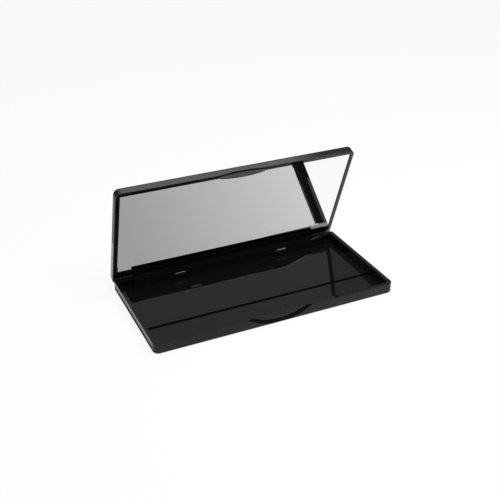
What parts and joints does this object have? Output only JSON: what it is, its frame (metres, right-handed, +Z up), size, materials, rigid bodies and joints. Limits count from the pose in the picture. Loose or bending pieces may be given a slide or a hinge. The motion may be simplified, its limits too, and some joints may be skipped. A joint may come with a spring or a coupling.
{
  "type": "hinged palette case with mirror",
  "caption": "Slim black hinged case with a shallow tray for refill pans, a mirrored lid on a friction hinge, a thumb scoop and a snap catch.",
  "frame": {"origin": "centre of the base's underside, on the table plane", "axes": "+X along the hinge, to the right seen from the thumb side; +Y from the thumb side to the hinge; +Z up"},
  "size_m": [0.19, 0.1032, 0.0931],
  "materials": {
    "base_gloss": "high gloss from a polished mould, with faint wipe marks",
    "lid_gloss": "high gloss from a polished mould, with faint wipe marks",
    "hinge_gloss": "gloss, lightly rubbed where it turns",
    "bracket_gloss": "gloss",
    "nub_gloss": "gloss",
    "tab_gloss": "gloss, lightly rubbed by the thumb",
    "ridge_gloss": "satin gloss",
    "bearer_black": "plain moulded, unseen",
    "base_film": "fine matt film, bare of print",
    "safety_film": "grey film, unseen",
    "adhesive": "off-white tape, unseen",
    "pin_steel": "drawn wire",
    "plate_steel": "tinplate, unseen",
    "mirror": "silvered float glass with a cut, seamed edge"
  },
  "bodies": {
    "base": {"base_shell": "base_gloss", "hinge_ledge": "base_gloss", "hinge_bracket_left": "bracket_gloss", "hinge_bracket_right": "bracket_gloss", "hinge_pin_left": "pin_steel", "hinge_pin_right": "pin_steel", "insert_nub_left": "nub_gloss", "insert_nub_right": "nub_gloss", "plate_adhesive": "adhesive", "floor_plate": "plate_steel", "base_film": "base_film"},
    "lid": {"lid_shell": "lid_gloss", "mirror_bearer": "bearer_black", "mirror_tape_front": "adhesive", "mirror_tape_middle": "adhesive", "mirror_tape_rear": "adhesive", "safety_film": "safety_film", "mirror_glass": "mirror", "hinge_barrel": "hinge_gloss", "thumb_tab": "tab_gloss", "grip_ridges": "ridge_gloss", "latch_bead": "tab_gloss"}
  },
  "joints": [
    {"name": "lid_hinge", "type": "hinge", "parent": "base", "child": "lid", "pos_m": [0, 0.0442, 0.00345], "axis": [-1, 0, 0], "range_deg": [-70, 20]}
  ]
}
